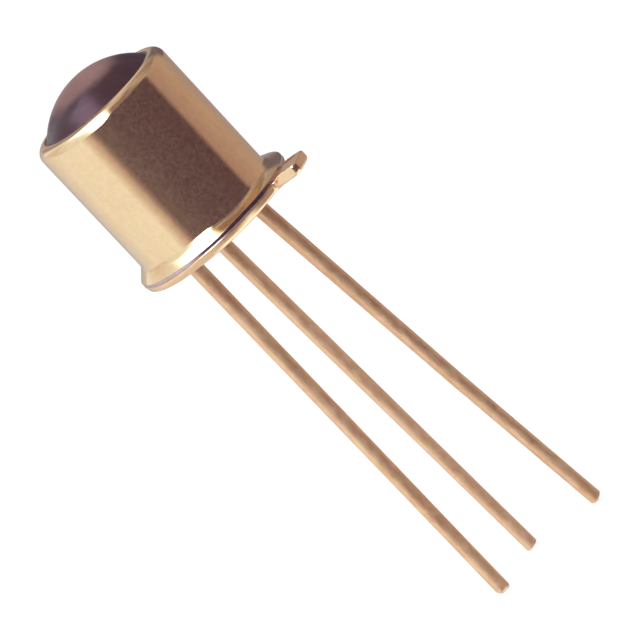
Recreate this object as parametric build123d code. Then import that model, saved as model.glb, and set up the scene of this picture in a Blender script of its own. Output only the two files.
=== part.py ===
from build123d import *
import os
from math import cos, hypot, radians, sin, sqrt, tan

# Phototransistor in a round metal can with a domed glass lens and three wire leads (TO-18 outline).
# Millimetres. The origin is the centre of the header's underside, +Z points out through the lens,
# and +X points to the index tab. The leads hang down and are numbered by their angle from the tab.

# ---- Can: one drawn shell with a rim turned in round the window and a flared weld flange ----
can_d = 4.70               # outside diameter of the straight wall
can_wall = 0.16            # sheet thickness
can_height = 5.15          # rim above the seating plane
can_rim_round = 0.33       # outside radius where the wall turns into the rim
rim_flat = 0.03            # least flat width left between that radius and the window's edge
window_d = 3.94            # opening in the rim
window_edge_round = 0.02
can_foot_round = 0.12      # outside radius where the wall turns into the flare
can_flare_angle = 34.0     # slope of the flared foot below the wall, from level
can_edge_t = 0.06          # thickness left at the flange's edge
can_flange_w = 0.37        # the flange reaches this far beyond the wall
can_edge_round = 0.015     # on both edges of the flange
can_offset = 0.045         # the can is welded this far off the header's centre
can_offset_angle = 213.8   # and in this direction

# ---- Lens: one glass body fused to the inside of the can ----
dome_r = 2.54
dome_rise = 0.837          # apex of the dome above the rim
seal_depth = 1.10          # glass on the can's wall, below the rim
lens_back_bulge = 0.50     # how far the inner face stands below its edge

# ---- Header: one stamped eyelet with a raised platform, a flange and an index tab ----
header_margin = 0.01       # the header's flange reaches this far beyond the can's
header_t = 0.27            # sheet thickness
header_top_round = 0.09
header_bottom_round = 0.10
platform_gap = 0.195       # least room between the platform and the can's inside
platform_height = 1.05     # platform top above the seating plane
platform_round = 0.12
cavity_round = 0.10
mouth_round = 0.06         # edge of the cavity at the underside
tab_w = 0.95
tab_reach = 3.69           # the tab ends in an arc this far from the header's centre
tab_root_round = 0.14
tab_tip_round = 0.18
lead_glass = 0.175         # glass round the two insulated leads where they pass the platform
glass_recess = 0.08        # the glass fill ends this far inside the cavity's mouth

# ---- Leads ----
lead_d = 0.45
lead_circle_d = 2.54
lead_step_angle = 90.0     # from one lead to the next
first_lead_angle = 45.0    # from the tab to the emitter lead
post_height = 0.40         # insulated leads above the platform
straight_exit = 0.30       # leads run straight down this far before they lean
lead_bend_r = 5.0
lean_direction_angle = 33.8       # all three leads lean this way
emitter_length = 14.11     # lead lengths are measured down from the seating plane
emitter_lean_angle = 6.1
emitter_second_lean_angle = 6.7   # beyond the second bend
second_bend_depth = 8.5
base_length = 14.23
base_lean_angle = 2.66
collector_length = 14.08
collector_lean_angle = 0.62
tip_round = 0.04

# ---- Detector chip and its bonds ----
chip_w = 0.85
chip_t = 0.25
attach_margin = 0.08       # solder showing round the chip
attach_t = 0.03
pad_w = 0.13
pad_t = 0.01
pad_inset = 0.10           # from the chip's edges to the pad's centre
wire_d = 0.038
ball_d = 0.10
ball_t = 0.04
wire_loop = 0.16           # height of the loop above the higher end
wire_bend_r = 0.08
wire_reach = 0.06          # the wire ends this far beyond the post's centre
wire_foot = 0.16           # length of wire lying on the post
wire_squash = 0.6          # share of the wire's radius left under its centre line on the post

pick_tolerance = 0.001     # for finding edges and corners by their place

# ---- Sizes that follow from the values above ----
can_r = can_d / 2
can_in_r = can_r - can_wall
window_r = window_d / 2
rim_under = can_height - can_wall
rim_round = min(can_rim_round, can_r - window_r - window_edge_round - rim_flat)
rim_in_round = rim_round - can_wall
flange_r = can_r + can_flange_w
header_r = flange_r + header_margin
platform_r = can_in_r - can_offset - platform_gap
cavity_r = platform_r - header_t
cavity_top = platform_height - header_t
lead_r = lead_d / 2
lead_hole_r = lead_r + lead_glass
lead_circle_r = lead_circle_d / 2
post_top = platform_height + post_height
chip_bottom = platform_height + attach_t
chip_top = chip_bottom + chip_t
can_axis = Pos(
    can_offset * cos(radians(can_offset_angle)),
    can_offset * sin(radians(can_offset_angle)),
)


def turned(corners):
    """A solid of revolution about Z. Each corner of its half section is (radius, height, rounding)."""
    points = [(r, z) for r, z, _ in corners]
    outline = FilletPolyline(*points, radius=[c[2] for c in corners], close=True)
    return revolve(Plane.XZ * make_face(outline), Axis.Z)


def rim_edges(shape, radius, height):
    """The circular edges of a shape with this radius at this height."""
    def fits(edge):
        off = hypot(edge.radius - radius, edge.center().Z - height)
        return off < pick_tolerance
    return [edge for edge in shape.edges().filter_by(GeomType.CIRCLE) if fits(edge)]


def polar(radius, degrees):
    """A point in plan, from its distance and angle about the header's centre."""
    return radius * cos(radians(degrees)), radius * sin(radians(degrees))


def flare_height(radius):
    """Height of the flared foot's outside at this distance from the can's axis."""
    return header_t + can_edge_t + (flange_r - radius) * tan(radians(can_flare_angle))


def make_can():
    """Shell whose foot flares out to the weld flange, trimmed concentric with the header."""
    drop = can_wall / cos(radians(can_flare_angle))
    slope = tan(radians(can_flare_angle))
    shell = turned([
        (window_r, can_height, window_edge_round),
        (can_r, can_height, rim_round),
        (can_r, flare_height(can_r), can_foot_round),
        (flange_r + can_edge_t / slope, header_t, 0),
        (flange_r - (drop - can_edge_t) / slope, header_t, 0),
        (can_in_r, flare_height(can_in_r) - drop, can_foot_round + can_wall),
        (can_in_r, rim_under, rim_in_round),
        (window_r, rim_under, window_edge_round),
    ])
    trim = Pos(0, 0, can_height) * Cylinder(flange_r, 2 * can_height)
    can = (can_axis * shell) & trim
    edge = [e for f in can.faces().filter_by(GeomType.CYLINDER) for e in f.edges()
            if abs(f.radius - flange_r) < pick_tolerance and e.length > flange_r]
    return fillet(edge, can_edge_round)


def make_lens():
    """Domed glass that fills the window and wets the rim's underside and the wall."""
    dome_centre = can_height + dome_rise - dome_r
    dome_edge = (window_r, dome_centre + sqrt(dome_r**2 - window_r**2))
    dome_middle = (window_r / 2, dome_centre + sqrt(dome_r**2 - (window_r / 2) ** 2))
    seal_bottom = rim_under - seal_depth
    back_r = (can_in_r**2 + lens_back_bulge**2) / (2 * lens_back_bulge)
    back_centre = seal_bottom - lens_back_bulge + back_r
    back_middle = (can_in_r / 2, back_centre - sqrt(back_r**2 - (can_in_r / 2) ** 2))
    turn = rim_in_round * (1 - sqrt(0.5))
    section = [
        ThreePointArc((0, dome_centre + dome_r), dome_middle, dome_edge),
        Line(dome_edge, (window_r, rim_under + window_edge_round)),
        # glass follows the rounded inner edge of the window
        RadiusArc((window_r, rim_under + window_edge_round),
                  (window_r + window_edge_round, rim_under), -window_edge_round),
        Line((window_r + window_edge_round, rim_under), (can_in_r - rim_in_round, rim_under)),
        ThreePointArc((can_in_r - rim_in_round, rim_under), (can_in_r - turn, rim_under - turn),
                      (can_in_r, rim_under - rim_in_round)),
        Line((can_in_r, rim_under - rim_in_round), (can_in_r, seal_bottom)),
        ThreePointArc((can_in_r, seal_bottom), back_middle, (0, seal_bottom - lens_back_bulge)),
        Line((0, seal_bottom - lens_back_bulge), (0, dome_centre + dome_r)),
    ]
    return can_axis * revolve(Plane.XZ * make_face(section), Axis.Z)


def lead_angles():
    """Lead name to its angle from the tab."""
    names = ["emitter", "base", "collector"]
    return {name: first_lead_angle + i * lead_step_angle for i, name in enumerate(names)}


def cavity():
    """The hollow under the platform, which the glass fills."""
    return turned([
        (0, 0, 0),
        (cavity_r, 0, 0),
        (cavity_r, cavity_top, cavity_round),
        (0, cavity_top, 0),
    ])


def platform_holes():
    """Cutters for the holes of the two insulated leads."""
    height = platform_height - cavity_top
    holes = []
    for name in ("emitter", "base"):
        x, y = polar(lead_circle_r, lead_angles()[name])
        holes.append(Pos(x, y, cavity_top + height / 2) * Cylinder(lead_hole_r, height))
    return holes


def make_header():
    """Flange plate with its tab, a raised platform, the cavity below it and the lead holes."""
    tab = Circle(tab_reach) & Pos(tab_reach / 2, 0) * Rectangle(tab_reach, tab_w)
    plan = Circle(header_r) + tab
    roots = [v for v in plan.vertices() if hypot(v.X, v.Y) < header_r + pick_tolerance]
    plan = fillet(roots, tab_root_round)
    tips = [v for v in plan.vertices() if hypot(v.X, v.Y) > tab_reach - pick_tolerance]
    plan = fillet(tips, tab_tip_round)
    plate = extrude(plan, header_t)
    plate = fillet(plate.edges().group_by(Axis.Z)[0], header_bottom_round)
    plate = fillet(plate.edges().group_by(Axis.Z)[-1], header_top_round)
    platform = turned([
        (0, header_t / 2, 0),
        (platform_r, header_t / 2, 0),
        (platform_r, platform_height, platform_round),
        (0, platform_height, 0),
    ])
    header = plate + platform - cavity()
    header = fillet(rim_edges(header, cavity_r, 0), mouth_round)
    for hole in platform_holes():
        header -= hole
    return header


def lead_route(name):
    """Corner points of a lead's centre line, from its top to its tip."""
    x, y = polar(lead_circle_r, lead_angles()[name])
    top = cavity_top if name == "collector" else post_top
    runs = {
        "emitter": [(second_bend_depth, emitter_lean_angle),
                    (emitter_length, emitter_second_lean_angle)],
        "base": [(base_length, base_lean_angle)],
        "collector": [(collector_length, collector_lean_angle)],
    }[name]
    points = [Vector(x, y, top), Vector(x, y, -straight_exit)]
    for depth, lean in runs:
        last = points[-1]
        dx, dy = polar((last.Z + depth) * tan(radians(lean)), lean_direction_angle)
        points.append(Vector(last.X + dx, last.Y + dy, -depth))
    return points


def make_lead(name):
    """Round wire along its route, with a softened tip."""
    points = lead_route(name)
    path = FilletPolyline(*points, radius=lead_bend_r)
    lead = sweep(Plane(points[0], z_dir=(0, 0, -1)) * Circle(lead_r), path=path)
    return fillet(lead.edges().sort_by(Axis.Z)[0], tip_round)


def make_header_glass(leads):
    """Glass in the cavity and in the lead holes, pierced by the three leads."""
    fill = cavity()
    for hole in platform_holes():
        fill += hole
    recess = Pos(0, 0, glass_recess / 2) * Cylinder(2 * cavity_r, glass_recess)
    fill -= recess
    for lead in leads:
        fill -= lead
    return fill


def pad_centre(name):
    """Centre of a bond pad, in the chip's corner towards its post."""
    x, y = polar(1, lead_angles()[name])
    place = chip_w / 2 - pad_inset
    return (place if x > 0 else -place), (place if y > 0 else -place)


def make_pad(name):
    x, y = pad_centre(name)
    return Pos(x, y, chip_top + pad_t / 2) * Box(pad_w, pad_w, pad_t)


def make_bond_wire(name):
    """Ball on the chip's pad, a loop, and a foot pressed flat on the post's top."""
    x0, y0 = pad_centre(name)
    x1, y1 = polar(lead_circle_r + wire_reach, lead_angles()[name])
    ball_bottom = chip_top + pad_t
    wire_r = wire_d / 2
    foot_z = post_top + wire_squash * wire_r
    loop_z = max(ball_bottom + ball_t, foot_z) + wire_loop
    foot_start = 1 - wire_foot / hypot(x1 - x0, y1 - y0)
    points = [
        (x0, y0, ball_bottom + ball_t / 2),
        (x0, y0, loop_z),
        (x0 + (x1 - x0) * foot_start / 2, y0 + (y1 - y0) * foot_start / 2, loop_z),
        (x0 + (x1 - x0) * foot_start, y0 + (y1 - y0) * foot_start, foot_z),
        (x1, y1, foot_z),
    ]
    path = FilletPolyline(*points, radius=wire_bend_r)
    wire = sweep(Plane(points[0]) * Circle(wire_r), path=path)
    ball = Pos(x0, y0, ball_bottom + ball_t / 2) * Cylinder(ball_d / 2, ball_t)
    ball = fillet(ball.edges().group_by(Axis.Z)[-1], ball_t / 3)
    post = Pos(*polar(lead_circle_r, lead_angles()[name]), post_top - wire_d / 2)
    return wire + ball - post * Cylinder(lead_r, wire_d)


def make_parts():
    """Every piece, by its node name."""
    leads = {name: make_lead(name) for name in lead_angles()}
    attach_w = chip_w + 2 * attach_margin
    parts = {
        "can": make_can(),
        "lens": make_lens(),
        "header": make_header(),
        "header_glass": make_header_glass(leads.values()),
        "chip_attach": Pos(0, 0, platform_height + attach_t / 2) * Box(attach_w, attach_w, attach_t),
        "detector_chip": Pos(0, 0, chip_bottom + chip_t / 2) * Box(chip_w, chip_w, chip_t),
    }
    for name, lead in leads.items():
        parts[f"{name}_lead"] = lead
    for name in ("emitter", "base"):
        parts[f"{name}_bond_pad"] = make_pad(name)
        parts[f"{name}_bond_wire"] = make_bond_wire(name)
    return parts


os.makedirs("parts", exist_ok=True)
for node, shape in make_parts().items():
    export_step(shape, f"parts/{node}.step")
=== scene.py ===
from math import asin, atan2, ceil, cos, hypot, pi, radians, sin, sqrt, tan

import bmesh
import bpy
from mathutils import Matrix, Vector, noise


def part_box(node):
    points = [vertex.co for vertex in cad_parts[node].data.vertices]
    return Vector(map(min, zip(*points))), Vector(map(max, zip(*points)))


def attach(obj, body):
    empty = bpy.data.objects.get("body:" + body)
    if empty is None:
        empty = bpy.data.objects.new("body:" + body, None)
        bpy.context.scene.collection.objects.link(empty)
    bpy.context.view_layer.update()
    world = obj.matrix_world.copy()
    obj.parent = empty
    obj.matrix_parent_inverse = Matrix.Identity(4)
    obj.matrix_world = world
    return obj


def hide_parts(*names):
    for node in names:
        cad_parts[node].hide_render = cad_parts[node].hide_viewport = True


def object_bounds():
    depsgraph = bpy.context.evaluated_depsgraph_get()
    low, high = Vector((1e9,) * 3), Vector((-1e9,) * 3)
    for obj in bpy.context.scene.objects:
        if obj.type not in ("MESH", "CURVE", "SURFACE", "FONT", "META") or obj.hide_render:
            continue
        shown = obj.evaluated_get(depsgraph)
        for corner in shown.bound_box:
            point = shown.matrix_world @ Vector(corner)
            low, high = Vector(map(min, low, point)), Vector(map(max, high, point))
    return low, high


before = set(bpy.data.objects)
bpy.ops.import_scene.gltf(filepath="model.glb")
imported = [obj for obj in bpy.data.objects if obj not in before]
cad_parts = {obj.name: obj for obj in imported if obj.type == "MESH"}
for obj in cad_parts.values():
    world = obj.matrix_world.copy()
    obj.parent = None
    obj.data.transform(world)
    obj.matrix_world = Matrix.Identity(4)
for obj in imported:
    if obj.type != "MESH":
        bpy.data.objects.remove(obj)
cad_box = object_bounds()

# A phototransistor in a gold-plated metal can, with a domed glass lens and three wire leads: its
# dressed pieces, their materials, and the studio that the metal mirrors

MM = 0.001
TINY = 1e-6

# ---- Sizes in millimetres and degrees, most of them as in the part's source ----
LEAN_DIRECTION = 33.8      # of the leads, and the camera's right
AGAINST_LEAN = LEAN_DIRECTION + 180
CAN_R, CAN_WALL, CAN_HEIGHT = 2.35, 0.16, 5.15
CAN_OFFSET, CAN_OFFSET_ANGLE = 0.045, AGAINST_LEAN
WINDOW_R, WINDOW_EDGE = 1.97, 0.02
RIM_ROUND, FOOT_ROUND = 0.33, 0.20
FLANGE_R, FLARE_ANGLE, EDGE_T, EDGE_ROUND = 2.72, 32.0, 0.10, 0.02
HEADER_R, HEADER_T, HEADER_TOP_ROUND, HEADER_BOTTOM_ROUND = 2.725, 0.27, 0.03, 0.16
# the rim of the underside lies this far in, except at the tab
HEADER_CONE = 0.03
PLATFORM_R, PLATFORM_H, PLATFORM_ROUND = 1.95, 1.05, 0.12
CAVITY_R, CAVITY_TOP, CAVITY_ROUND, MOUTH_ROUND = 1.68, 0.78, 0.10, 0.06
# an extra loop this far from each rounding keeps the flats flat when shaded, or less far where
# that would take more than this share of the flat
HOLD, HOLD_SHARE = 0.012, 0.3
TAB_W, TAB_REACH, TAB_ROOT_ROUND, TAB_TIP_ROUND, TAB_LIFT = 0.95, 3.688, 0.14, 0.18, 0.05
HOLE_R = 0.40      # in the header, round each insulated lead
DOME_R, DOME_RISE, SEAL_DEPTH, BACK_BULGE = 2.54, 0.837, 1.10, 0.50
LEAD_R, LEAD_CIRCLE_R, LEAD_BEND_R, STRAIGHT_EXIT = 0.225, 1.27, 5.0, 0.30
POST_TOP = 1.45
CAN_IN_R = CAN_R - CAN_WALL
RIM_UNDER = CAN_HEIGHT - CAN_WALL
# angle is a lead's place on the circle, and each run is (depth it ends at, degrees off the vertical).
# shift is how far the wire sits off its place, against the lean, and extra is its length past the last
# depth. girth is (depth, scale) at two depths, tip_round rounds the tip's edge, and each cut across the
# tip is (direction in plan, where it starts as a share of the radius, slope).
LEADS = {
    "emitter": dict(angle=45, top=POST_TOP, runs=[(8.5, 6.1), (14.11, 6.7)], shift=0, extra=0.06,
                    girth=((0, 1.08), (12, 0.97)), tip_round=0.02,
                    cuts=[(AGAINST_LEAN, 0, 0.28), (10, 0.2, 0.7), (310, 0.5, 0.7)]),
    "base": dict(angle=135, top=POST_TOP, runs=[(14.23, 2.66)], shift=0, extra=-0.02,
                 girth=((0, 1.07), (13, 0.95)), tip_round=0.015,
                 cuts=[(LEAN_DIRECTION, -1, 0.147)]),
    "collector": dict(angle=225, top=CAVITY_TOP, runs=[(14.08, 0.62)], shift=0.02, extra=0.02,
                      girth=((0, 1.05), (14, 1.01)), tip_round=0.02,
                      cuts=[(AGAINST_LEAN, 0.4, 1.0), (310, 0.45, 0.8),
                            (LEAN_DIRECTION, 0.75, 1.4)]),
}
# the drawn wire's dents: how deep they are, how fast they change round the wire and along it, and the
# height below which they begin
WEAR = dict(depth=0.0045, round_it=0.8, along_it=1.1)
FINE_WEAR = dict(depth=0.0018, round_it=2.5, along_it=4.5)
WEAR_STARTS = -0.2
CAN_CENTRE = Vector((CAN_OFFSET * cos(radians(CAN_OFFSET_ANGLE)),
                     CAN_OFFSET * sin(radians(CAN_OFFSET_ANGLE)), 0))

# ---- Camera: from a little above, with the part lying across the picture ----
VIEW_AZIMUTH, VIEW_ELEVATION, VIEW_ROLL = LEAN_DIRECTION, 14.588, -42.92
VIEW_TARGET = Vector((0.2817, 0.1886, -4.160)) * MM
VIEW_DISTANCE, VIEW_LENS, VIEW_SENSOR = 0.100, 192.28, 36
VIEW_CLIP = (0.002, 20)


def view_axes():
    """The camera's right, up and back before its roll."""
    a, e = radians(VIEW_AZIMUTH), radians(VIEW_ELEVATION)
    back = Vector((sin(a) * cos(e), -cos(a) * cos(e), sin(e)))
    right = Vector((cos(a), sin(a), 0))
    return right, back.cross(right), back


def make_camera():
    """The camera looks at the part's middle, rolled so that the part lies across the picture."""
    right, up, back = view_axes()
    roll = radians(VIEW_ROLL)
    x = cos(roll) * right + sin(roll) * up
    y = -sin(roll) * right + cos(roll) * up
    turn = Matrix((x, y, back)).transposed()
    data = bpy.data.cameras.new("camera")
    data.lens, data.sensor_width = VIEW_LENS, VIEW_SENSOR
    data.clip_start, data.clip_end = VIEW_CLIP
    cam = bpy.data.objects.new("camera", data)
    cam.matrix_world = Matrix.Translation(VIEW_TARGET + back * VIEW_DISTANCE) @ turn.to_4x4()
    bpy.context.collection.objects.link(cam)
    bpy.context.scene.camera = cam


# ---- Node helpers ----
class Nodes:
    """Short calls for building one node tree."""

    def __init__(self, tree):
        self.tree = tree
        tree.nodes.clear()

    def add(self, kind, *values, **settings):
        """A node with its settings; values go to its first inputs, where None leaves one alone."""
        n = self.tree.nodes.new(kind)
        for key, value in settings.items():
            setattr(n, key, value)
        for i, value in enumerate(values):
            self.put(n.inputs[i], value)
        return n

    def put(self, socket, value):
        """Links or sets a socket, whichever the value asks for."""
        if value is None:
            return
        if isinstance(value, bpy.types.NodeSocket):
            self.tree.links.new(value, socket)
        elif isinstance(value, bpy.types.Node):
            self.tree.links.new(value.outputs[0], socket)
        else:
            socket.default_value = value

    def math(self, operation, *values, clamp=False):
        """The result of a sum on numbers."""
        return self.add("ShaderNodeMath", *values, operation=operation, use_clamp=clamp).outputs[0]

    def vector(self, operation, *values, out=0):
        """The result of a sum on vectors; out is 1 for the sums that give a number."""
        return self.add("ShaderNodeVectorMath", *values, operation=operation).outputs[out]

    def noise(self, where, scale, detail=2.0, rough=0.5, stretch=None):
        """Cloudy values about 0.5; a stretch below 1 draws them out along that axis."""
        if stretch:
            where = self.vector("MULTIPLY", where, stretch)
        n = self.add("ShaderNodeTexNoise")
        self.put(n.inputs["Vector"], where)
        n.inputs["Scale"].default_value = scale
        n.inputs["Detail"].default_value = detail
        n.inputs["Roughness"].default_value = rough
        return n.outputs["Fac"]

    def ramp(self, fac, stops, gain=1.0):
        """Stops are (position, colour). A gain carries colours brighter than white."""
        n = self.add("ShaderNodeValToRGB", fac)
        r = n.color_ramp
        while len(r.elements) > 1:
            r.elements.remove(r.elements[-1])
        for i, (at, colour) in enumerate(stops):
            e = r.elements[0] if i == 0 else r.elements.new(at)
            e.position = at
            e.color = (*[c / gain for c in colour[:3]], 1)
        if gain == 1.0:
            return n.outputs[0]
        return self.vector("MULTIPLY", n.outputs[0], (gain,) * 3)

    def smooth(self, value, low, high, to_low=0.0, to_high=1.0):
        """Eases from to_low to to_high while the value goes from low to high."""
        n = self.add("ShaderNodeMapRange", value, low, high, to_low, to_high,
                     interpolation_type="SMOOTHSTEP")
        return n.outputs[0]

    def between(self, value, low, high, to_low=0.0, to_high=1.0):
        """The same along a straight line."""
        return self.add("ShaderNodeMapRange", value, low, high, to_low, to_high).outputs[0]

    def product(self, *values):
        """All the values multiplied together."""
        out = values[0]
        for value in values[1:]:
            out = self.math("MULTIPLY", out, value)
        return out

    def bump(self, shader, height, distance):
        """Relief on a shader; distance is in millimetres."""
        n = self.add("ShaderNodeBump")
        n.inputs["Strength"].default_value = 1.0
        n.inputs["Distance"].default_value = distance * MM
        self.put(n.inputs["Height"], height)
        self.put(shader.inputs["Normal"], n)

    def mix(self, fac, a, b, blend="MIX"):
        """Goes from a to b, or blends b over a, by the factor."""
        n = self.add("ShaderNodeMix", data_type="RGBA", blend_type=blend)
        self.put(n.inputs["Factor"], fac)
        self.put(n.inputs["A"], a)
        self.put(n.inputs["B"], b)
        return n.outputs["Result"]


# ---- Light: a soft studio as a world that depends only on direction ----
# Colour of the surroundings round the horizon, by angle from the camera's side
AROUND = [
    (-180, (0.42, 0.34, 0.33)),
    (-160, (0.56, 0.53, 0.54)),
    (-150, (0.66, 0.66, 0.72)),
    (-132, (0.78, 0.77, 0.84)),
    (-112, (0.91, 0.92, 0.98)),
    (-58, (0.93, 0.95, 1.00)),
    (-49, (0.72, 0.64, 0.64)),
    (-41, (0.52, 0.40, 0.40)),
    (-37, (0.32, 0.23, 0.25)),
    (-31, (0.150, 0.100, 0.135)),
    (5, (0.104, 0.058, 0.094)),
    (60, (0.090, 0.045, 0.078)),
    (74, (0.096, 0.050, 0.080)),
    (82, (0.40, 0.27, 0.28)),
    (120, (0.48, 0.365, 0.345)),
    (150, (0.42, 0.34, 0.34)),
    (180, (0.42, 0.34, 0.33)),
]
# Overhead, by share across the view from left to right: a long lamp lies left of the middle
OVERHEAD = [
    (-1.0, (0.84, 0.84, 0.90)),
    (-0.70, (0.90, 0.94, 1.03)),
    (-0.58, (1.3, 1.35, 1.5)),
    (-0.45, (4.2, 4.8, 6.0)),
    (-0.12, (4.4, 5.0, 6.3)),
    (-0.05, (1.9, 2.1, 2.4)),
    (0.0, (0.95, 0.95, 1.0)),
    (0.06, (0.58, 0.52, 0.50)),
    (0.25, (0.52, 0.44, 0.38)),
    (0.4, (0.22, 0.17, 0.25)),
    (0.55, (0.42, 0.35, 0.33)),
    (0.7, (0.38, 0.30, 0.28)),
    (1.0, (0.50, 0.42, 0.40)),
]
# Behind the object and well above the horizon, across the view
BEHIND = [
    (-1.0, (0.72, 0.70, 0.74)),
    (-0.66, (0.86, 0.88, 0.95)),
    (-0.55, (1.2, 1.25, 1.4)),
    (-0.45, (3.4, 3.9, 5.0)),
    (-0.12, (3.8, 4.3, 5.6)),
    (-0.05, (1.5, 1.6, 1.9)),
    (0.0, (0.80, 0.76, 0.76)),
    (0.08, (0.62, 0.54, 0.50)),
    (0.30, (0.56, 0.46, 0.42)),
    (0.45, (0.46, 0.38, 0.34)),
    (0.60, (0.42, 0.34, 0.30)),
    (1.0, (0.28, 0.23, 0.22)),
]
# Behind the object and lower down, across the view
FAR = [
    (-1.0, (0.70, 0.64, 0.62)),
    (-0.64, (0.74, 0.67, 0.66)),
    (-0.45, (0.90, 0.94, 1.0)),
    (-0.28, (0.36, 0.28, 0.30)),
    (0.0, (0.38, 0.30, 0.31)),
    (0.08, (0.72, 0.64, 0.66)),
    (0.18, (0.66, 0.58, 0.58)),
    (0.26, (0.39, 0.33, 0.32)),
    (0.45, (0.32, 0.26, 0.24)),
    (0.60, (0.28, 0.22, 0.20)),
    (0.85, (0.27, 0.21, 0.20)),
    (1.0, (0.40, 0.33, 0.31)),
]
# the tables with the lamps in them are as bright as this at most
LAMP_GAIN = 6.5
# Well below the horizon, across the view
UNDER = [
    (-1.0, (0.80, 0.76, 0.78)),
    (-0.4, (0.74, 0.68, 0.68)),
    (0.0, (0.42, 0.34, 0.34)),
    (0.4, (0.37, 0.29, 0.29)),
    (1.0, (0.40, 0.33, 0.30)),
]
FLOOR = (1.35, 1.4, 1.5, 1)
ROOM = (0.26, 0.18, 0.20, 1)
FLAG = (0.16, 0.13, 0.17, 1)
BACKGROUND = (0.9955, 0.9955, 0.9955, 1)
FILL = (1, 1, 1, 1)
# Where these parts of the world begin and end. A direction is told by its shares to the right of the
# view (across), towards the camera (ahead) and upwards (height). Each pair goes from none of the part
# to all of it.
ROOM_ACROSS, ROOM_AHEAD = (-0.06, 0.10), (0.2, 0.42)
BEHIND_AHEAD, FAR_AHEAD = (0.04, -0.10), (-0.22, -0.42)
FLAG_ACROSS, FLAG_AHEAD, FLAG_HEIGHT = (0.05, 0.2), (-0.6, -0.85), (-0.2, -0.06)
FLOOR_LEFT, FLOOR_RIGHT = (-0.38, -0.05), (0.75, 0.5)
FLOOR_FRONT, FLOOR_BACK = (0.8, 0.55), (-0.85, -0.45)
UNDER_HEIGHT = (-0.32, -0.46)
# What is overhead begins at the higher of two heights, which change across the view and with ahead,
# each as (from, to, height there, height there), and it blends in over the last pair above that
START_ACROSS, START_AHEAD = (-0.32, 0.06, 0.03, 0.40), (0.0, -0.6, 0.0, 0.16)
START_BLEND = (0.0, 0.10)
# The floor: its radius and its gap below the part's lowest point, both in metres, its glow and its
# roughness
FLOOR_R, FLOOR_GAP, FLOOR_GLOW, FLOOR_ROUGH = 1.2, 0.00001, 0.895, 0.9


def make_world():
    """Glossy rays see the studio, diffuse rays a plain white, and the camera a plain background."""
    world = bpy.data.worlds.new("studio")
    bpy.context.scene.world = world
    world.use_nodes = True
    n = Nodes(world.node_tree)
    right, _, back = view_axes()
    front = Vector((back.x, back.y, 0)).normalized()
    to = n.add("ShaderNodeTexCoord").outputs["Generated"]
    across = n.vector("DOT_PRODUCT", to, tuple(right), out=1)
    ahead = n.vector("DOT_PRODUCT", to, tuple(front), out=1)
    turn = n.math("DIVIDE", n.math("ARCTAN2", across, ahead), 2 * pi)
    height = n.add("ShaderNodeSeparateXYZ", to).outputs["Z"]
    share = n.between(across, -1, 1)

    def spread(table, gain=1.0):
        """A table by share across the view, from -1 on the left to 1 on the right."""
        return n.ramp(share, [((a + 1) / 2, c) for a, c in table], gain)

    low = n.ramp(n.math("ADD", turn, 0.5), [((a + 180) / 360, c) for a, c in AROUND])
    high = spread(OVERHEAD, LAMP_GAIN)
    # the room on the camera's side is dim on the right
    room = n.product(n.smooth(ahead, *ROOM_AHEAD), n.smooth(across, *ROOM_ACROSS))
    high = n.mix(room, high, ROOM)
    high = n.mix(n.smooth(ahead, *BEHIND_AHEAD), high, spread(BEHIND, LAMP_GAIN))
    high = n.mix(n.smooth(ahead, *FAR_AHEAD), high, spread(FAR))
    # a dark flag stands behind on the right, low down
    flag = n.product(n.smooth(across, *FLAG_ACROSS), n.smooth(ahead, *FLAG_AHEAD),
                     n.smooth(height, *FLAG_HEIGHT))
    low = n.mix(flag, low, FLAG)
    # the floor brightens what faces down, most of all near the part
    near = n.product(n.smooth(ahead, *FLOOR_FRONT), n.smooth(across, *FLOOR_RIGHT),
                     n.smooth(across, *FLOOR_LEFT), n.smooth(ahead, *FLOOR_BACK))
    under = n.mix(near, spread(UNDER), FLOOR)
    low = n.mix(n.smooth(height, *UNDER_HEIGHT), low, under)
    # the lamp on the left comes down to the horizon, the dark of the room reaches higher on the right
    start = n.math("MAXIMUM", n.smooth(across, *START_ACROSS), n.smooth(ahead, *START_AHEAD))
    colour = n.mix(n.smooth(n.math("SUBTRACT", height, start), *START_BLEND), low, high)
    path = n.add("ShaderNodeLightPath")
    plain = n.math("ADD", path.outputs["Is Camera Ray"], path.outputs["Is Diffuse Ray"], clamp=True)
    colour = n.mix(plain, colour, n.mix(path.outputs["Is Diffuse Ray"], BACKGROUND, FILL))
    shine = n.add("ShaderNodeBackground", colour, 1.0)
    n.add("ShaderNodeOutputWorld", shine)


def make_floor():
    """A white floor that only the camera sees: it throws no light on the part and isn't mirrored."""
    mesh = bpy.data.meshes.new("floor")
    bm = bmesh.new()
    bmesh.ops.create_circle(bm, cap_ends=True, segments=96, radius=FLOOR_R)
    bm.to_mesh(mesh)
    bm.free()
    floor = bpy.data.objects.new("floor", mesh)
    floor.location.z = cad_box[0].z - FLOOR_GAP
    bpy.context.collection.objects.link(floor)
    mat = bpy.data.materials.new("floor")
    mat.use_nodes = True
    n = Nodes(mat.node_tree)
    where = n.add("ShaderNodeTexCoord").outputs["Object"]
    tone = n.ramp(n.noise(where, 40), [(0.3, (0.095, 0.095, 0.095)), (0.7, (0.105, 0.105, 0.105))])
    shader = n.add("ShaderNodeBsdfPrincipled", tone)
    shader.inputs["Emission Color"].default_value = (1, 1, 1, 1)
    shader.inputs["Emission Strength"].default_value = FLOOR_GLOW
    shader.inputs["Roughness"].default_value = FLOOR_ROUGH
    shader.inputs["Specular IOR Level"].default_value = 0.0
    n.add("ShaderNodeOutputMaterial", shader)
    mesh.materials.append(mat)
    floor.visible_glossy = False
    floor.visible_diffuse = False
    floor.visible_transmission = False


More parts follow.
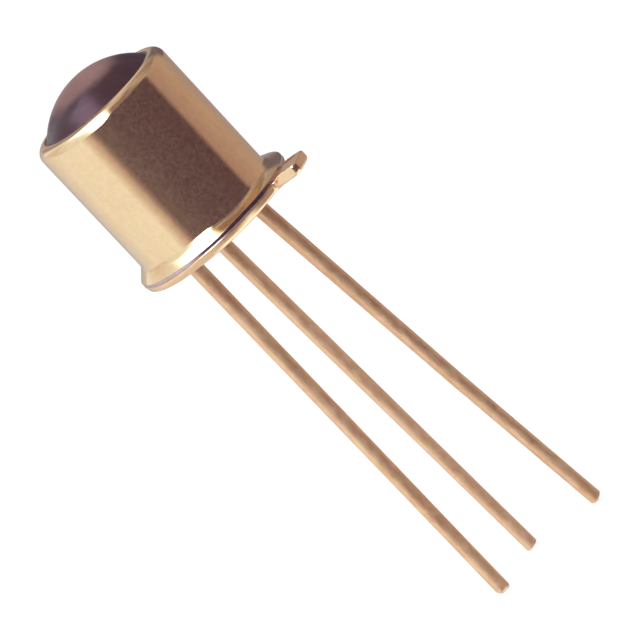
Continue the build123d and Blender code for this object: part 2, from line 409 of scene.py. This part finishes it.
# ---- Materials ----
# How fine a metal's features are, as a multiple of its blotches: broad patches, tints, stains, relief
BROAD, TINTS, STAINS, RELIEF = 0.18, 0.9, 2.2, 1.7
# the tint moves aside, so that it doesn't follow the blotches, and is strongest on hazy metal
TINT_ASIDE, TINT_PER_HAZE, TINT_MOST = (0.013, 0.007, 0.003), 5, 0.5
OLIVE, PLAIN, ROSE = (0.90, 0.98, 0.84), (1, 0.98, 0.96), (1.0, 0.86, 1.0)
# drawing marks and broad swells, per millimetre, and how they stretch down the part
MARKS, MARK_STRETCH = 26, (1, 1, 0.03)
SWELLS, SWELL_STRETCH = 1.1, (1, 1, 0.6)


def principled(name):
    """A new material with its tree, its shader and the place in the object's own frame."""
    mat = bpy.data.materials.new(name)
    mat.use_nodes = True
    n = Nodes(mat.node_tree)
    shader = n.add("ShaderNodeBsdfPrincipled")
    n.add("ShaderNodeOutputMaterial", shader)
    where = n.add("ShaderNodeTexCoord").outputs["Object"]
    return mat, n, shader, where


def metal(name, dull, bright, scale, rough, bump, stretch=None, lines=0.0, haze=(0.0, 0.0),
          wave=0.0):
    """Plated metal: blotches between two tints, uneven roughness, and fine relief.
    scale is blotches per millimetre, bump is relief in millimetres, lines adds drawing marks down
    the part, haze is the least and greatest share of light that stains scatter, and brings in tints
    of rose and olive, and wave is the height in millimetres of broad unevenness."""
    mat, n, shader, where = principled(name)
    per_m = scale / MM
    blotch = n.noise(where, per_m, 3, 0.6, stretch)
    broad = n.noise(where, per_m * BROAD, 2, 0.5, stretch)
    patch = n.math("ADD", n.math("MULTIPLY", blotch, 0.65), n.math("MULTIPLY", broad, 0.35))
    colour = n.ramp(patch, [(0.36, dull), (0.64, bright)])
    tint = n.noise(n.vector("ADD", where, TINT_ASIDE), per_m * TINTS, 3, 0.6)
    tint = n.ramp(tint, [(0.36, OLIVE), (0.5, PLAIN), (0.64, ROSE)])
    colour = n.mix(min(TINT_MOST, haze[1] * TINT_PER_HAZE), colour, tint, "MULTIPLY")
    n.put(shader.inputs["Base Color"], colour)
    # stains scatter a little light, which shows where the gold mirrors something dark
    stain = n.noise(where, per_m * STAINS, 3, 0.6)
    n.put(shader.inputs["Metallic"], n.between(stain, 0.34, 0.66, 1.0 - haze[1], 1.0 - haze[0]))
    n.put(shader.inputs["Roughness"], n.between(blotch, 0.3, 0.7, rough[0], rough[1]))
    relief = n.noise(where, per_m * RELIEF, 3, 0.6, stretch)
    if lines:
        marks = n.noise(where, MARKS / MM, 2, 0.6, MARK_STRETCH)
        relief = n.math("ADD", relief, n.math("MULTIPLY", marks, lines))
    if wave:
        swell = n.noise(where, SWELLS / MM, 1, 0.5, SWELL_STRETCH)
        relief = n.math("ADD", relief, n.math("MULTIPLY", swell, wave / bump))
    n.bump(shader, relief, bump)
    return mat


# the lens's warm middle, a painted glow, gives way to painted shade at its rim between these radii,
# give or take the wander
GLOW_TO_SHADE_R, GLOW_TO_SHADE_WANDER = (0.95, 1.45), 0.12


def glass(name, middle, rim, rough, scale):
    """Dark optical glass: a painted warm glow over the chip, painted shade towards the rim, faint haze.
    """
    mat, n, shader, where = principled(name)
    haze = n.noise(where, scale / MM, 3, 0.6)
    flat = n.vector("MULTIPLY", n.vector("SUBTRACT", where, tuple(CAN_CENTRE * MM)), (1, 1, 0))
    radius = n.vector("LENGTH", flat, out=1)
    wander = n.between(haze, 0.3, 0.7, -GLOW_TO_SHADE_WANDER * MM, GLOW_TO_SHADE_WANDER * MM)
    radius = n.math("ADD", radius, wander)
    tint = n.mix(n.smooth(radius, *(r * MM for r in GLOW_TO_SHADE_R)), (*middle, 1), (*rim, 1))
    cloud = n.between(haze, 0.3, 0.7, 0.86, 1.0)
    n.put(shader.inputs["Base Color"], n.mix(1.0, tint, cloud, "MULTIPLY"))
    n.put(shader.inputs["Roughness"], n.between(haze, 0.3, 0.7, rough[0], rough[1]))
    shader.inputs["Transmission Weight"].default_value = 0.83
    shader.inputs["IOR"].default_value = 1.5
    shader.inputs["Specular IOR Level"].default_value = 0.2
    # the pink tint paints the surrounding room's colour into the lens's reflections
    shader.inputs["Specular Tint"].default_value = (1.0, 0.48, 0.48, 1)
    return mat


def sealing_glass():
    """Opaque glass round the leads: dark, with a few small bubbles."""
    mat, n, shader, where = principled("sealing_glass")
    cloud = n.noise(where, 1.5 / MM, 3, 0.6)
    dark, pale = (0.018, 0.026, 0.032), (0.05, 0.065, 0.07)
    n.put(shader.inputs["Base Color"], n.ramp(cloud, [(0.35, dark), (0.65, pale)]))
    n.put(shader.inputs["Roughness"], n.between(cloud, 0.3, 0.7, 0.08, 0.22))
    bubble = n.add("ShaderNodeTexVoronoi", feature="F1")
    n.put(bubble.inputs["Vector"], where)
    bubble.inputs["Scale"].default_value = 5 / MM
    n.bump(shader, n.smooth(bubble.outputs["Distance"], 0.05, 0.2), 0.006)
    return mat


# the die's guard ring lies between these shares of the way to its edge, and blurs over a little more
GUARD_IN, GUARD_OUT, GUARD_BLUR = 0.64, 0.72, 0.04


def silicon():
    """Sawn die: a guard ring of metal round the light-sensitive area, on its top only."""
    mat, n, shader, where = principled("silicon_die")
    low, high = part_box("detector_chip")
    middle = (low + high) / 2
    place = n.add("ShaderNodeSeparateXYZ", n.vector("SUBTRACT", where, tuple(middle)))
    x, y = n.math("ABSOLUTE", place.outputs["X"]), n.math("ABSOLUTE", place.outputs["Y"])
    edge = n.math("DIVIDE", n.math("MAXIMUM", x, y), (high.x - low.x) / 2)
    grain = n.noise(where, 9 / MM, 3, 0.6)
    ring_metal = (0.62, 0.62, 0.64)
    top = n.ramp(edge, [(0.0, (0.030, 0.030, 0.095)), (GUARD_IN - GUARD_BLUR, (0.040, 0.034, 0.120)),
                        (GUARD_IN, ring_metal), (GUARD_OUT, ring_metal),
                        (GUARD_OUT + GUARD_BLUR, (0.055, 0.048, 0.060)),
                        (0.95, (0.075, 0.070, 0.075))])
    side = n.ramp(grain, [(0.35, (0.07, 0.07, 0.075)), (0.65, (0.16, 0.16, 0.165))])
    n.put(shader.inputs["Base Color"], n.mix(n.smooth(edge, 0.975, 0.99), top, side))
    n.put(shader.inputs["Roughness"], n.between(grain, 0.3, 0.7, 0.16, 0.3))
    from_guard_ring = n.math("ABSOLUTE", n.math("SUBTRACT", edge, (GUARD_IN + GUARD_OUT) / 2))
    n.put(shader.inputs["Metallic"], n.smooth(from_guard_ring, 0.05, 0.03))
    return mat


def make_materials():
    """Every material by the short name that the pieces ask for it by."""
    return {
        "can": metal("can_gold", (0.91, 0.68, 0.39), (0.97, 0.74, 0.43), 5, (0.06, 0.10), 0.0006,
                     lines=0.4, haze=(0.016, 0.070), wave=0.004),
        "edge": metal("can_cut_edge", (0.52, 0.40, 0.38), (0.68, 0.54, 0.52), 7, (0.12, 0.2), 0.003),
        "header": metal("header_gold", (0.90, 0.63, 0.37), (0.98, 0.73, 0.44), 5, (0.12, 0.22), 0.0015,
                        haze=(0.015, 0.065)),
        "lead": metal("lead_gold", (0.79, 0.47, 0.25), (0.95, 0.65, 0.385), 5, (0.30, 0.42), 0.002,
                      (1, 1, 0.5), lines=0.4, haze=(0.12, 0.26)),
        # a lighter, hazier copy of the lead gold: painted light, as the base lead is lit more brightly
        # than the other two
        "base": metal("base_lead_gold_painted_lighter", (0.84, 0.53, 0.30), (0.96, 0.67, 0.41), 5, (0.30, 0.44), 0.002,
                      (1, 1, 0.5), lines=0.4, haze=(0.16, 0.30)),
        "cut": metal("cut_wire_end", (0.42, 0.37, 0.31), (0.52, 0.47, 0.41), 9, (0.12, 0.22), 0.003),
        # the lens's warm middle colour is a painted glow, and its dark rim colour is painted shade
        "lens": glass("lens_glass", (0.98, 0.54, 0.44), (0.17, 0.09, 0.11), (0.20, 0.26), 1.2),
        "seal": sealing_glass(),
        "die": silicon(),
        "attach": metal("die_attach", (0.52, 0.46, 0.40), (0.68, 0.62, 0.54), 8, (0.3, 0.5), 0.006),
        "pad": metal("bond_pad", (0.70, 0.70, 0.72), (0.84, 0.84, 0.85), 14, (0.2, 0.34), 0.001),
        "bond": metal("bond_wire", (0.92, 0.64, 0.30), (1.0, 0.76, 0.42), 12, (0.14, 0.22), 0.001),
    }


# ---- Mesh helpers ----
def new_piece(name, bm, materials, node):
    """A finished mesh that stands for one node of the CAD."""
    mesh = bpy.data.meshes.new(name)
    bmesh.ops.recalc_face_normals(bm, faces=bm.faces)
    bm.to_mesh(mesh)
    bm.free()
    mesh.shade_smooth()
    for mat in materials:
        mesh.materials.append(mat)
    piece = bpy.data.objects.new(name, mesh)
    bpy.context.collection.objects.link(piece)
    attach(piece, "root")
    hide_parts(node)
    return piece


def rounded(corners, step=radians(5)):
    """A closed section from (radius, height, rounding) corners: every rounding becomes an arc, with a
    holding point just outside each end so that the flats stay flat when shaded."""
    out = []
    count = len(corners)
    for i, (x, y, rounding) in enumerate(corners):
        here = Vector((x, y))
        before = Vector(corners[i - 1][:2]) - here
        after = Vector(corners[(i + 1) % count][:2]) - here
        u, v = before.normalized(), after.normalized()
        if rounding <= 0:
            out.append(tuple(here))
            continue
        half = u.angle(v) / 2
        cut = rounding / tan(half)
        centre = here + (u + v).normalized() * (rounding / sin(half))
        start, end = here + u * cut, here + v * cut
        room_before = (before.length - cut) * HOLD_SHARE
        room_after = (after.length - cut) * HOLD_SHARE
        out.append(tuple(start + u * min(HOLD, room_before)))
        a, b = start - centre, end - centre
        sweep = a.angle_signed(b)
        parts = max(3, ceil(abs(sweep) / step))
        for k in range(parts + 1):
            out.append(tuple(centre + Matrix.Rotation(-sweep * k / parts, 2) @ a))
        out.append(tuple(end + v * min(HOLD, room_after)))
    return out


def quarter(steps):
    """The angles of a quarter turn."""
    return [pi / 2 * i / steps for i in range(steps + 1)]


def ring(bm, points):
    """Vertices at points given in millimetres."""
    return [bm.verts.new(Vector(p) * MM) for p in points]


def bridge(bm, one, two, index=0):
    """A band of faces between two loops of as many vertices."""
    count = len(one)
    for i in range(count):
        j = (i + 1) % count
        face = bm.faces.new((one[i], one[j], two[j], two[i]))
        face.material_index = index


def lathe(bm, section, centre_at, around, index_at=None, closed=True):
    """Turns a section of (radius, height) points. centre_at(radius, height) is each ring's centre, and
    index_at(point, next point) the material of the band between them."""
    rings = []
    for r, z in section:
        c = centre_at(r, z)
        if r < TINY:
            rings.append([bm.verts.new(Vector((c.x, c.y, z)) * MM)])
            continue
        rings.append(ring(bm, [(c.x + r * cos(2 * pi * i / around),
                                c.y + r * sin(2 * pi * i / around), z) for i in range(around)]))
    pairs = list(zip(rings, rings[1:]))
    if closed:
        pairs.append((rings[-1], rings[0]))
    for k, (one, two) in enumerate(pairs):
        index = index_at(section[k], section[(k + 1) % len(section)]) if index_at else 0
        if len(one) == 1 or len(two) == 1:
            tip, rim = (one[0], two) if len(one) == 1 else (two[0], one)
            for i in range(len(rim)):
                bm.faces.new((tip, rim[i], rim[(i + 1) % len(rim)])).material_index = index
        else:
            bridge(bm, one, two, index)


# ---- Small unevenness of the welded edge ----
# Heights added to the seam, to the flare above it, to the can's underside with the header's top, and
# to the header's underside, each by share across the view from left to right
SEAM_DROP = [(-1, -0.11), (-0.6, -0.075), (-0.2, -0.045), (0.25, -0.015), (0.6, -0.03), (1, -0.04)]
FLARE_DROP = [(-1, 0.10), (-0.5, 0.02), (-0.1, 0.0), (0.25, -0.12), (0.6, -0.07), (1, -0.06)]
SEAM_OPEN = [(-1, 0), (-0.1, 0), (0.15, -0.035), (0.55, -0.035), (0.75, -0.01), (1, 0)]
HEADER_SAG = [(-1, -0.058), (-0.5, -0.038), (0, -0.053), (0.6, -0.064), (1, -0.061)]
# The heights over which the seam's table ends, the flare's begins and ends, and the third one ends,
# the radii over which these three end, and the height above which nothing moves
SEAM_HEIGHTS, FLARE_BOTTOM, FLARE_TOP = (0.50, 1.1), (0.37, 0.58), (0.62, 1.1)
OPEN_HEIGHTS, SETTLE_RADII, SETTLE_TOP = (0.30, 0.36), (2.8, 3.1), 1.2
# How far the bulge stands out, the share to the right where it begins, and the radii over which it
# grows and fades
BULGE, BULGE_REACH, BULGE_GROWS, BULGE_FADES = 0.055, 0.56, (2.4, 2.7), (2.75, 2.95)


def ease(value, low, high):
    """0 below low, 1 above high, and a soft step between them."""
    t = min(1, max(0, (value - low) / (high - low)))
    return t * t * (3 - 2 * t)


def across_view(x, y):
    """How far a point lies to the right, seen from the camera's side."""
    return x * cos(radians(LEAN_DIRECTION)) + y * sin(radians(LEAN_DIRECTION))


def from_table(table, x, y):
    """The value of a table at a point, eased from one entry to the next."""
    share = min(1, max(-1, across_view(x, y) / FLANGE_R))
    for (a, va), (b, vb) in zip(table, table[1:]):
        if share <= b:
            return va + (vb - va) * ease(share, a, b)
    return table[-1][1]


def bulge(x, y):
    """The flange stands out a little on the right."""
    r = max(hypot(x, y), TINY)
    towards = across_view(x, y) / r
    out = BULGE * max(0, (towards - BULGE_REACH) / (1 - BULGE_REACH)) ** 1.5
    out *= ease(r, *BULGE_GROWS) * (1 - ease(r, *BULGE_FADES))
    return x * (1 + out / r), y * (1 + out / r)


def settle(x, y, z):
    """Moves a point of the welded seam to where the weld left it."""
    drop = from_table(SEAM_DROP, x, y) * (1 - ease(z, *SEAM_HEIGHTS))
    drop += from_table(FLARE_DROP, x, y) * ease(z, *FLARE_BOTTOM) * (1 - ease(z, *FLARE_TOP))
    drop += from_table(SEAM_OPEN, x, y) * (1 - ease(z, *OPEN_HEIGHTS))
    z += drop * (1 - ease(hypot(x, y), *SETTLE_RADII))
    return *bulge(x, y), z


# ---- Can ----
# the shell's offset is taken up over the flange's width, less this at each end
TRIM_MARGIN = 0.02
BLANKED_DEPTH = 0.012      # of the flange's bare edge
AROUND_CAN, AROUND_LENS = 288, 240


def make_can(mats):
    """A drawn shell with a turned-in rim, a flared foot and a flat, blanked edge."""
    slope = tan(radians(FLARE_ANGLE))
    drop = CAN_WALL / cos(radians(FLARE_ANGLE))
    edge_top = HEADER_T + EDGE_T

    def flare(r):
        """Height of the flare's outer face."""
        return edge_top + (FLANGE_R - r) * slope

    section = rounded([
        (WINDOW_R, CAN_HEIGHT, WINDOW_EDGE),
        (CAN_R, CAN_HEIGHT, RIM_ROUND),
        (CAN_R, flare(CAN_R), FOOT_ROUND),
        (FLANGE_R, edge_top, EDGE_ROUND),
        (FLANGE_R, HEADER_T, EDGE_ROUND),
        (FLANGE_R - (drop - EDGE_T) / slope, HEADER_T, 0),
        (CAN_IN_R, flare(CAN_IN_R) - drop, FOOT_ROUND + CAN_WALL),
        (CAN_IN_R, RIM_UNDER, RIM_ROUND - CAN_WALL),
        (WINDOW_R, RIM_UNDER, WINDOW_EDGE),
    ])

    def centre_at(r, z):
        """The flange is trimmed concentric with the header, the rest stands off centre."""
        width = FLANGE_R - CAN_R - 2 * TRIM_MARGIN
        out = min(1, max(0, (r - CAN_R - TRIM_MARGIN) / width))
        return CAN_CENTRE * (1 - out) if z < flare(CAN_R) else CAN_CENTRE

    def index_at(a, b):
        """Bare edge of the sheet, where the flange was blanked."""
        return 1 if min(a[0], b[0]) > FLANGE_R - BLANKED_DEPTH else 0

    bm = bmesh.new()
    lathe(bm, section, centre_at, AROUND_CAN, index_at)
    for v in bm.verts:
        if v.co.z < SETTLE_TOP * MM:
            v.co = Vector(settle(*(v.co / MM))) * MM
    new_piece("can_shell", bm, [mats["can"], mats["edge"]], "can")


# ---- Lens ----
# the glass wets the window's edge over this width; the curve bends this far in from it and down
WET_WIDTH, WET_IN, WET_DOWN = 0.07, 0.025, 0.012


def make_lens(mats):
    """One body of glass: a dome, the neck in the window, and the wide seal inside the can."""
    dome_centre = CAN_HEIGHT + DOME_RISE - DOME_R
    edge = asin((WINDOW_R - WET_WIDTH) / DOME_R)
    parts = 48
    dome = [(DOME_R * sin(edge * i / parts), dome_centre + DOME_R * cos(edge * i / parts))
            for i in range(parts + 1)]
    last, rim = Vector(dome[-1]), Vector((WINDOW_R, CAN_HEIGHT - WINDOW_EDGE))
    low = Vector((WINDOW_R - WET_IN, last.y - WET_DOWN))
    parts = 8
    for i in range(1, parts + 1):
        t = i / parts
        dome.append(tuple(last * (1 - t) ** 2 + low * 2 * t * (1 - t) + rim * t * t))
    seal_bottom = RIM_UNDER - SEAL_DEPTH
    back_r = (CAN_IN_R ** 2 + BACK_BULGE ** 2) / (2 * BACK_BULGE)
    back_centre = seal_bottom - BACK_BULGE + back_r
    back = []
    parts = 24
    for i in range(parts, -1, -1):
        r = CAN_IN_R * i / parts
        back.append((r, back_centre - sqrt(back_r ** 2 - r ** 2)))
    turn = RIM_ROUND - CAN_WALL
    inside = [(CAN_IN_R - turn * (1 - sin(a)), RIM_UNDER - turn * (1 - cos(a))) for a in quarter(9)]
    section = dome + [(WINDOW_R, RIM_UNDER + WINDOW_EDGE), (WINDOW_R + WINDOW_EDGE, RIM_UNDER)]
    section += inside + back
    bm = bmesh.new()
    lathe(bm, section, lambda r, z: CAN_CENTRE, AROUND_LENS, closed=False)
    new_piece("lens_dome", bm, [mats["lens"]], "lens")


# ---- Header ----
# From which x to which x each of these comes in along the tab: its lift, the turned-down top edge at
# its tip, the smaller rounding below it, and the larger one below its tip
LIFT_X, TIP_TOP_X, TAB_BELOW_X, TIP_BELOW_X = (2.65, 3.0), (3.35, 3.62), (2.7, 3.0), (3.4, 3.65)
# and from where to where the underside stops being set in
CONE_X = (2.7, 2.9)
TIP_TOP_ROUND, TAB_BELOW_ROUND, TIP_BELOW_ROUND = 0.03, 0.05, 0.08
# across the view, the rounding below the flange grows from half its size between these shares
BOTTOM_GROWS = (-0.7, -0.2)
RIM_WIDTH = 0.3            # from the flange's edge to the next loop inside it, above and below
ROUND_STEPS = 6            # for a quarter turn of the header's small roundings
AROUND_HOLE = 64
HEADER_CREASE = radians(50)   # edges sharper than this stay sharp when shaded


def header_outline():
    """Plan of the flange with its tab, anticlockwise, as (x, y, outward normal)."""
    half = TAB_W / 2
    root_x = sqrt((HEADER_R + TAB_ROOT_ROUND) ** 2 - (half + TAB_ROOT_ROUND) ** 2)
    root = Vector((root_x, half + TAB_ROOT_ROUND))
    meet = atan2(root.y, root.x)
    reach = TAB_REACH - TAB_TIP_ROUND
    tip = Vector((sqrt(reach ** 2 - (half - TAB_TIP_ROUND) ** 2), half - TAB_TIP_ROUND))
    corner = atan2(tip.y, tip.x)
    points = []

    def arc(centre, radius, start, end, parts, first=0):
        """Adds an arc. Where it turns clockwise, its centre lies outside the plan, and outward is
        towards it."""
        for i in range(first, parts + 1):
            a = start + (end - start) * i / parts
            d = Vector((cos(a), sin(a)))
            points.append((*(centre + d * radius), d if end > start else -d))

    # the half with y above 0, from the middle of the tip to the back
    middle = Vector((0, 0))
    arc(middle, TAB_REACH, 0, corner, 6)
    points.pop()
    arc(tip, TAB_TIP_ROUND, corner, pi / 2, 16)
    parts = 9
    for i in range(1, parts):
        points.append((tip.x + (root.x - tip.x) * i / parts, half, Vector((0, 1))))
    arc(root, TAB_ROOT_ROUND, -pi / 2, meet - pi, 12)
    arc(middle, HEADER_R, meet, pi, 124, first=1)
    lower = [(x, -y, Vector((d.x, -d.y))) for x, y, d in points[1:-1]]
    return points + lower[::-1]


def tab_lift(x):
    """The tab was pushed up slightly when it was blanked."""
    return TAB_LIFT * ease(x, *LIFT_X)


def edge_round(x, y, top):
    """Rounding of the header's edge. Above, it grows at the tab's tip. Below, it is half as large on
    the flange's left as on its right, small along the tab, and larger again at the tab's tip."""
    if top:
        return HEADER_TOP_ROUND + TIP_TOP_ROUND * ease(x, *TIP_TOP_X)
    share = across_view(x, y) / HEADER_R
    size = HEADER_BOTTOM_ROUND * (0.5 + 0.5 * ease(share, *BOTTOM_GROWS))
    size += (TAB_BELOW_ROUND - size) * ease(x, *TAB_BELOW_X)
    return size + TIP_BELOW_ROUND * ease(x, *TIP_BELOW_X)


def fill_disc(bm, loops):
    """Fills the flat region between an outer loop and the holes in it."""
    edges = []
    for loop in loops:
        for i in range(len(loop)):
            edges.append(bm.edges.get((loop[i], loop[i - 1])) or bm.edges.new((loop[i], loop[i - 1])))
    bmesh.ops.triangle_fill(bm, use_beauty=True, use_dissolve=False, edges=edges)


def make_header(mats):
    """The stamped eyelet: a flange with its tab, a raised platform, and a cavity below it."""
    outline = header_outline()
    bm = bmesh.new()

    def plan(share, drop, top, on_round=False):
        """A loop of the rounded edge: share of the rounding inwards, and share of it down or up."""
        out = []
        for x, y, d in outline:
            size = edge_round(x, y, top)
            inset = size * share + (0 if on_round or share < 1 else HOLD)
            if not top:
                inset += HEADER_CONE * (1 - ease(x, *CONE_X))
            px, py = x - d.x * inset, y - d.y * inset
            if top:
                px, py, z = settle(px, py, HEADER_T - size * drop + tab_lift(px))
            else:
                z = size * drop + tab_lift(px) + from_table(HEADER_SAG, px, py)
                px, py = bulge(px, py)
            out.append((px, py, z))
        return ring(bm, out)

    def circle(r, z, settled=False):
        """A loop with a vertex for each of the outline's."""
        out = []
        for x, y, _ in outline:
            a = atan2(y, x)
            p = (r * cos(a), r * sin(a), z)
            out.append(settle(*p) if settled else p)
        return ring(bm, out)

    # from the platform's foot over the flange's edge and up into the cavity
    angles = quarter(ROUND_STEPS)
    loops = [circle(PLATFORM_R, HEADER_T), circle(PLATFORM_R + HOLD, HEADER_T),
             circle(HEADER_R - RIM_WIDTH, HEADER_T, True), plan(1, 0, True)]
    loops += [plan(1 - sin(a), 1 - cos(a), True, a > 0) for a in angles]
    loops += [plan(1 - cos(a), 1 - sin(a), False, a < angles[-1]) for a in angles]
    loops += [plan(1, 0, False), circle(HEADER_R - RIM_WIDTH, 0),
              circle(CAVITY_R + MOUTH_ROUND + HOLD, 0)]
    loops += [circle(CAVITY_R + MOUTH_ROUND * (1 - sin(a)), MOUTH_ROUND * (1 - cos(a)))
              for a in angles]
    loops += [circle(CAVITY_R - CAVITY_ROUND * (1 - cos(a)), CAVITY_TOP - CAVITY_ROUND * (1 - sin(a)))
              for a in angles]
    # the platform's side and its rounded top edge
    side = [loops[0], circle(PLATFORM_R, HEADER_T + HOLD),
            circle(PLATFORM_R, PLATFORM_H - PLATFORM_ROUND - HOLD)]
    side += [circle(PLATFORM_R - PLATFORM_ROUND * (1 - cos(a)),
                    PLATFORM_H - PLATFORM_ROUND * (1 - sin(a))) for a in quarter(2 * ROUND_STEPS)]
    side.append(circle(PLATFORM_R - PLATFORM_ROUND - HOLD, PLATFORM_H))
    for chain in (loops, side):
        for one, two in zip(chain, chain[1:]):
            bridge(bm, one, two)
    # roof, pierced where the two insulated leads pass
    tops, bottoms = [side[-1]], [loops[-1]]
    for name in ("emitter", "base"):
        a = radians(LEADS[name]["angle"])
        cx, cy = LEAD_CIRCLE_R * cos(a), LEAD_CIRCLE_R * sin(a)
        turns = [2 * pi * i / AROUND_HOLE for i in range(AROUND_HOLE)]
        upper, lower = (ring(bm, [(cx + HOLE_R * cos(t), cy + HOLE_R * sin(t), z) for t in turns])
                        for z in (PLATFORM_H, CAVITY_TOP))
        bridge(bm, upper, lower)
        tops.append(upper)
        bottoms.append(lower)
    fill_disc(bm, tops)
    fill_disc(bm, bottoms)
    piece = new_piece("header_plate", bm, [mats["header"]], "header")
    piece.data.set_sharp_from_angle(angle=HEADER_CREASE)


# ---- Leads ----
PATH_SPACING, TOP_ROUND = 0.06, 0.02
# the path's rings keep this far from the lead's two ends, and the cuts come in over the tip's own
# rings, given by their distances from the tip
CLEAR_OF_TOP, CLEAR_OF_TIP, TIP_RINGS = 0.05, 0.6, (0.5, 0.4, 0.3, 0.24, 0.18, 0.12)
AROUND_LEAD = 48
LEAD_CREASE = radians(24)


def lead_path(name):
    """Points down a lead's centre line, with its arcs, as (point, tangent)."""
    spec = LEADS[name]
    a = radians(spec["angle"])
    corners = [Vector((LEAD_CIRCLE_R * cos(a), LEAD_CIRCLE_R * sin(a), spec["top"]))]
    corners.append(Vector((corners[0].x, corners[0].y, -STRAIGHT_EXIT)))
    lean_way = Vector((cos(radians(LEAN_DIRECTION)), sin(radians(LEAN_DIRECTION)), 0))
    corners = [p - lean_way * spec["shift"] for p in corners]
    for depth, lean in spec["runs"]:
        last = corners[-1]
        p = last + lean_way * ((last.z + depth) * tan(radians(lean)))
        corners.append(Vector((p.x, p.y, -depth)))
    out = []
    start = corners[0]
    for i in range(1, len(corners)):
        here = corners[i]
        along = (here - corners[i - 1]).normalized()
        if i < len(corners) - 1:
            onward = (corners[i + 1] - here).normalized()
            angle = along.angle(onward)
            cut = LEAD_BEND_R * tan(angle / 2)
        else:
            cut = 0
        stop = here - along * cut
        count = max(2, ceil((stop - start).length / PATH_SPACING))
        for k in range(count):
            out.append((start.lerp(stop, k / count), along.copy()))
        if i < len(corners) - 1:
            inward = (onward - along * along.dot(onward)).normalized()
            centre = stop + inward * LEAD_BEND_R
            parts = 8
            for k in range(parts):
                t = angle * k / parts
                out.append((centre - inward * (LEAD_BEND_R * cos(t)) + along * (LEAD_BEND_R * sin(t)),
                            (along * cos(t) + inward * sin(t)).normalized()))
            start = here + onward * cut
        else:
            out.append((stop, along.copy()))
    return out


def make_lead(name, mats):
    """Drawn wire with faint unevenness, a slight taper and a cut tip."""
    spec = LEADS[name]
    bm = bmesh.new()
    path = lead_path(name)
    top, first_down = path[0]
    tip, down = path[-1]
    tip = tip + down * spec["extra"]
    lengths = [0]
    for (p, _), (q, _) in zip(path, path[1:]):
        lengths.append(lengths[-1] + (q - p).length)
    planes = [(Vector((cos(radians(a)), sin(radians(a)), 0)), share, slope)
              for a, share, slope in spec["cuts"]]

    def scale_at(z):
        """The wire's taper."""
        (d0, g0), (d1, g1) = spec["girth"]
        return g0 + (g1 - g0) * ease(-z, d0, d1)

    def dent(a, z, depth, round_it, along_it):
        """How deep the wire is dented here. The lead's angle keeps two leads from being alike."""
        where = Vector((cos(a) * round_it + spec["angle"], sin(a) * round_it, z * along_it))
        return depth * abs(noise.noise(where))

    def setback(q):
        """How far the cuts take this point of the cross-section back up the wire."""
        return max([0] + [(q.dot(towards) - share * LEAD_R) * slope
                          for towards, share, slope in planes])

    def loop(p, t, radius, cap=0.0):
        """A ring round the wire at p, square to t; cap is the share of the cuts that it takes."""
        u = Vector((1, 0, 0)) - t * t.x
        u.normalize()
        v = t.cross(u)
        out = []
        for i in range(AROUND_LEAD):
            a = 2 * pi * i / AROUND_LEAD
            d = u * cos(a) + v * sin(a)
            uneven = -dent(a, p.z, **WEAR) - dent(a, p.z, **FINE_WEAR) if p.z < WEAR_STARTS else 0
            around_point = d * (radius * scale_at(p.z) + uneven)
            out.append(p + around_point - t * setback(around_point) * cap)
        return ring(bm, out)

    rings = [loop(top, first_down, LEAD_R - TOP_ROUND),
             loop(top + first_down * TOP_ROUND, first_down, LEAD_R)]
    for (p, t), length in zip(path, lengths):
        if length > CLEAR_OF_TOP and lengths[-1] - length > CLEAR_OF_TIP:
            rings.append(loop(p, t, LEAD_R))
    for left in TIP_RINGS:
        share = ease(-left, -TIP_RINGS[0], -TIP_RINGS[-1])
        rings.append(loop(tip - down * left, down, LEAD_R, cap=share))
    tip_round = spec["tip_round"]
    for a in quarter(4):
        rings.append(loop(tip - down * tip_round * (1 - sin(a)), down,
                          LEAD_R - tip_round * (1 - cos(a)), cap=1))
    # the cut face, which has a material of its own
    parts = 10
    for i in range(1, parts):
        rings.append(loop(tip, down, (LEAD_R - tip_round) * (1 - i / parts), cap=1))
    face_starts = len(rings) - parts
    for i, (one, two) in enumerate(zip(rings, rings[1:])):
        bridge(bm, one, two, int(i >= face_starts))
    for end, index in ((rings[0], 0), (rings[-1], 1)):
        middle = bm.verts.new(sum((v.co for v in end), Vector()) / AROUND_LEAD)
        for i in range(AROUND_LEAD):
            bm.faces.new((middle, end[i], end[(i + 1) % AROUND_LEAD])).material_index = index
    # the base lead takes the copy of the gold that is painted lighter
    gold = mats["base" if name == "base" else "lead"]
    piece = new_piece(f"{name}_wire", bm, [gold, mats["cut"]], f"{name}_lead")
    piece.data.set_sharp_from_angle(angle=LEAD_CREASE)


def dress(finishes, mats):
    """Gives the CAD's own inner pieces their materials."""
    for node, finish in finishes.items():
        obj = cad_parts[node]
        obj.data.materials.clear()
        obj.data.materials.append(mats[finish])


make_camera()
make_world()
make_floor()
bpy.context.scene.view_settings.view_transform = "Standard"
mats = make_materials()
make_can(mats)
make_lens(mats)
make_header(mats)
for name in LEADS:
    make_lead(name, mats)
dress({"header_glass": "seal", "chip_attach": "attach", "detector_chip": "die",
       "emitter_bond_pad": "pad", "base_bond_pad": "pad",
       "emitter_bond_wire": "bond", "base_bond_wire": "bond"}, mats)
